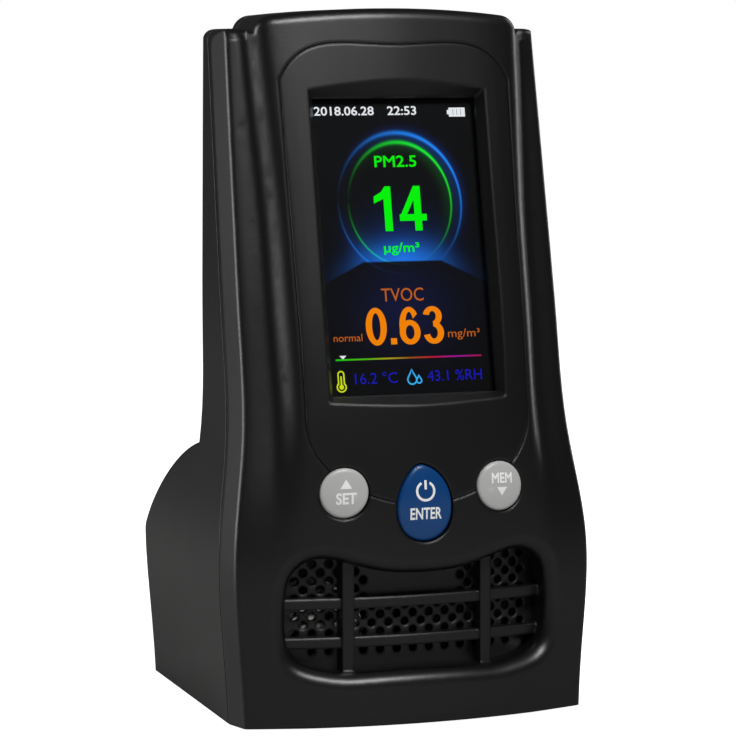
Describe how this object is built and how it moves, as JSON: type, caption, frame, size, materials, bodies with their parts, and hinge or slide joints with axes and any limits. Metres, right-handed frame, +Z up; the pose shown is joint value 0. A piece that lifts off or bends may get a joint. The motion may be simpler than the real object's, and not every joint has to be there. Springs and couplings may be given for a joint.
{
  "type": "airborne particle counter",
  "caption": "Leaning countertop particle counter: raised colour display, two round keys and an egg-shaped key, barred air intake over a perforated screen, vented upright back.",
  "frame": {"origin": "centre of the whole box's underside, on the table", "axes": "+Z up, the display faces -Y and leans back, +X to the right of a reader facing the display"},
  "size_m": [0.0796, 0.0764, 0.1457],
  "materials": {
    "case_plastic": "satin black moulded ABS, fine spark texture",
    "rear_plastic": "satin black moulded ABS, fine spark texture",
    "surround_plastic": "satin black moulded ABS, finer texture than the cover",
    "screen_plastic": "satin black moulded ABS",
    "lens": "clear hard-coated acrylic",
    "lcd": "colour display, lit",
    "foam": "black closed-cell foam",
    "white_plastic": "white moulded polycarbonate",
    "board": "green solder mask on glass-epoxy",
    "rubber": "black silicone",
    "grey_key": "semi-gloss mid grey moulded plastic",
    "blue_key": "semi-gloss blue moulded plastic",
    "switch_plastic": "black nylon",
    "steel": "zinc-plated steel",
    "sensor_metal": "bright tinned steel",
    "black_plastic": "black glass-filled nylon",
    "rotor_plastic": "dark grey nylon",
    "cell_wrap": "blue shrink sleeve"
  },
  "bodies": {
    "housing": {"backlight": "white_plastic", "battery_cell_1": "cell_wrap", "battery_cell_2": "cell_wrap", "battery_tray": "black_plastic", "board_screw_1": "steel", "board_screw_2": "steel", "board_screw_3": "steel", "board_screw_4": "steel", "buzzer": "black_plastic", "case_screw_1": "steel", "case_screw_2": "steel", "case_screw_3": "steel", "case_screw_4": "steel", "charge_socket": "sensor_metal", "display_carrier": "white_plastic", "display_gasket": "foam", "display_lens": "lens", "display_surround": "surround_plastic", "fan_motor": "black_plastic", "foot_1": "rubber", "foot_2": "rubber", "foot_3": "rubber", "foot_4": "rubber", "front_cover": "case_plastic", "gas_board": "board", "gas_sensor": "sensor_metal", "intake_screen": "screen_plastic", "lcd_glass": "lcd", "left_switch": "switch_plastic", "main_board": "board", "middle_switch": "switch_plastic", "power_board": "board", "processor": "black_plastic", "rear_cover": "rear_plastic", "right_switch": "switch_plastic", "sensor_case": "black_plastic", "sensor_lid": "black_plastic"},
    "left_key": {"left_key": "grey_key"},
    "right_key": {"right_key": "grey_key"},
    "middle_key": {"middle_key": "blue_key"},
    "fan_rotor": {"fan_rotor": "rotor_plastic"}
  },
  "joints": [
    {"name": "left_key_press", "type": "slide", "parent": "housing", "child": "left_key", "axis": [0, 0.9788, -0.205], "range_m": [0, 0.0006], "stiffness_N_per_m": 800, "springref_m": -0.0004},
    {"name": "right_key_press", "type": "slide", "parent": "housing", "child": "right_key", "axis": [0, 0.9788, -0.205], "range_m": [0, 0.0006], "stiffness_N_per_m": 800, "springref_m": -0.0004},
    {"name": "middle_key_press", "type": "slide", "parent": "housing", "child": "middle_key", "axis": [0, 0.9788, -0.205], "range_m": [0, 0.0006], "stiffness_N_per_m": 800, "springref_m": -0.0004},
    {"name": "fan_spin", "type": "hinge", "parent": "housing", "child": "fan_rotor", "pos_m": [0.02, -0.0095, 0.019], "axis": [0, 1, 0], "continuous": true}
  ]
}
